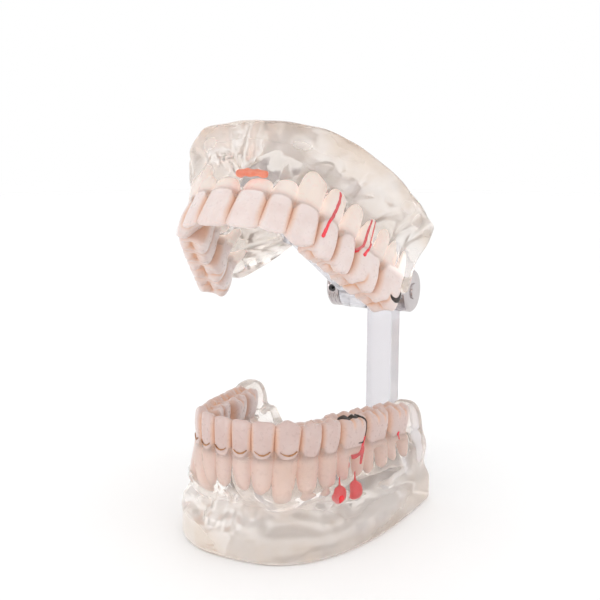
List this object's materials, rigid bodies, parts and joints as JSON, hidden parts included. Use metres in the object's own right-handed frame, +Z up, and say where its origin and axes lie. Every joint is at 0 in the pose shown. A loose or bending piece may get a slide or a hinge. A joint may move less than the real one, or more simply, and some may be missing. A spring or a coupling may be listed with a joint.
{
  "type": "typodont model",
  "caption": "Clear dental study model: ivory teeth with visible disease set in two clear resin jaws, held open by a friction hinge on a clear post at the back.",
  "frame": {"origin": "centre of the flat underside of the lower base", "axes": "+Z up, -Y towards the front teeth, +X towards the model's own left side"},
  "size_m": [0.067, 0.0957, 0.109],
  "materials": {
    "clear_resin": "clear cast resin, gently waved surface",
    "clear_acrylic": "clear polished acrylic bar",
    "tooth_ivory": "smooth ivory-pink plastic, warmer between the teeth",
    "bright_steel": "bright turned steel",
    "dark_steel": "blackened steel",
    "brown_tartar": "rough brown paint",
    "black_decay": "rough black paint",
    "pulp_red": "red paint",
    "cyst_red": "glossy dark red plastic",
    "lesion_orange": "orange-red plastic"
  },
  "bodies": {
    "lower_jaw": {"lower_jaw_base": "clear_resin", "lower_right_central_incisor": "tooth_ivory", "lower_left_central_incisor": "tooth_ivory", "lower_right_lateral_incisor": "tooth_ivory", "lower_left_lateral_incisor": "tooth_ivory", "lower_right_canine": "tooth_ivory", "lower_left_canine": "tooth_ivory", "lower_right_first_premolar": "tooth_ivory", "lower_left_first_premolar": "tooth_ivory", "lower_right_second_premolar": "tooth_ivory", "lower_left_second_premolar": "tooth_ivory", "lower_right_first_molar": "tooth_ivory", "lower_left_first_molar": "tooth_ivory", "lower_right_second_molar": "tooth_ivory", "lower_left_second_molar": "tooth_ivory", "lower_left_third_molar": "tooth_ivory", "lower_calculus": "brown_tartar", "lower_molar_decay": "black_decay", "lower_molar_pulp": "pulp_red", "lower_root_cysts": "cyst_red", "lower_wisdom_pulp": "pulp_red", "hinge_post": "clear_acrylic", "post_screws": "clear_acrylic", "hinge_axle": "bright_steel", "hinge_collar_left": "bright_steel", "hinge_collar_right": "bright_steel", "collar_set_screws": "dark_steel"},
    "upper_jaw": {"upper_jaw_base": "clear_resin", "upper_right_central_incisor": "tooth_ivory", "upper_left_central_incisor": "tooth_ivory", "upper_right_lateral_incisor": "tooth_ivory", "upper_left_lateral_incisor": "tooth_ivory", "upper_right_canine": "tooth_ivory", "upper_left_canine": "tooth_ivory", "upper_right_first_premolar": "tooth_ivory", "upper_left_first_premolar": "tooth_ivory", "upper_right_second_premolar": "tooth_ivory", "upper_left_second_premolar": "tooth_ivory", "upper_right_first_molar": "tooth_ivory", "upper_left_first_molar": "tooth_ivory", "upper_right_second_molar": "tooth_ivory", "upper_left_second_molar": "tooth_ivory", "upper_molar_decay": "black_decay", "upper_premolar_canal": "pulp_red", "upper_molar_canals": "pulp_red", "upper_root_lesion": "lesion_orange", "hinge_arm": "clear_acrylic", "arm_screws": "clear_acrylic"}
  },
  "joints": [
    {"name": "jaw_hinge", "type": "hinge", "parent": "lower_jaw", "child": "upper_jaw", "pos_m": [0, 0.058, 0.0555], "axis": [1, 0, 0], "range_deg": [-70, 30]}
  ]
}
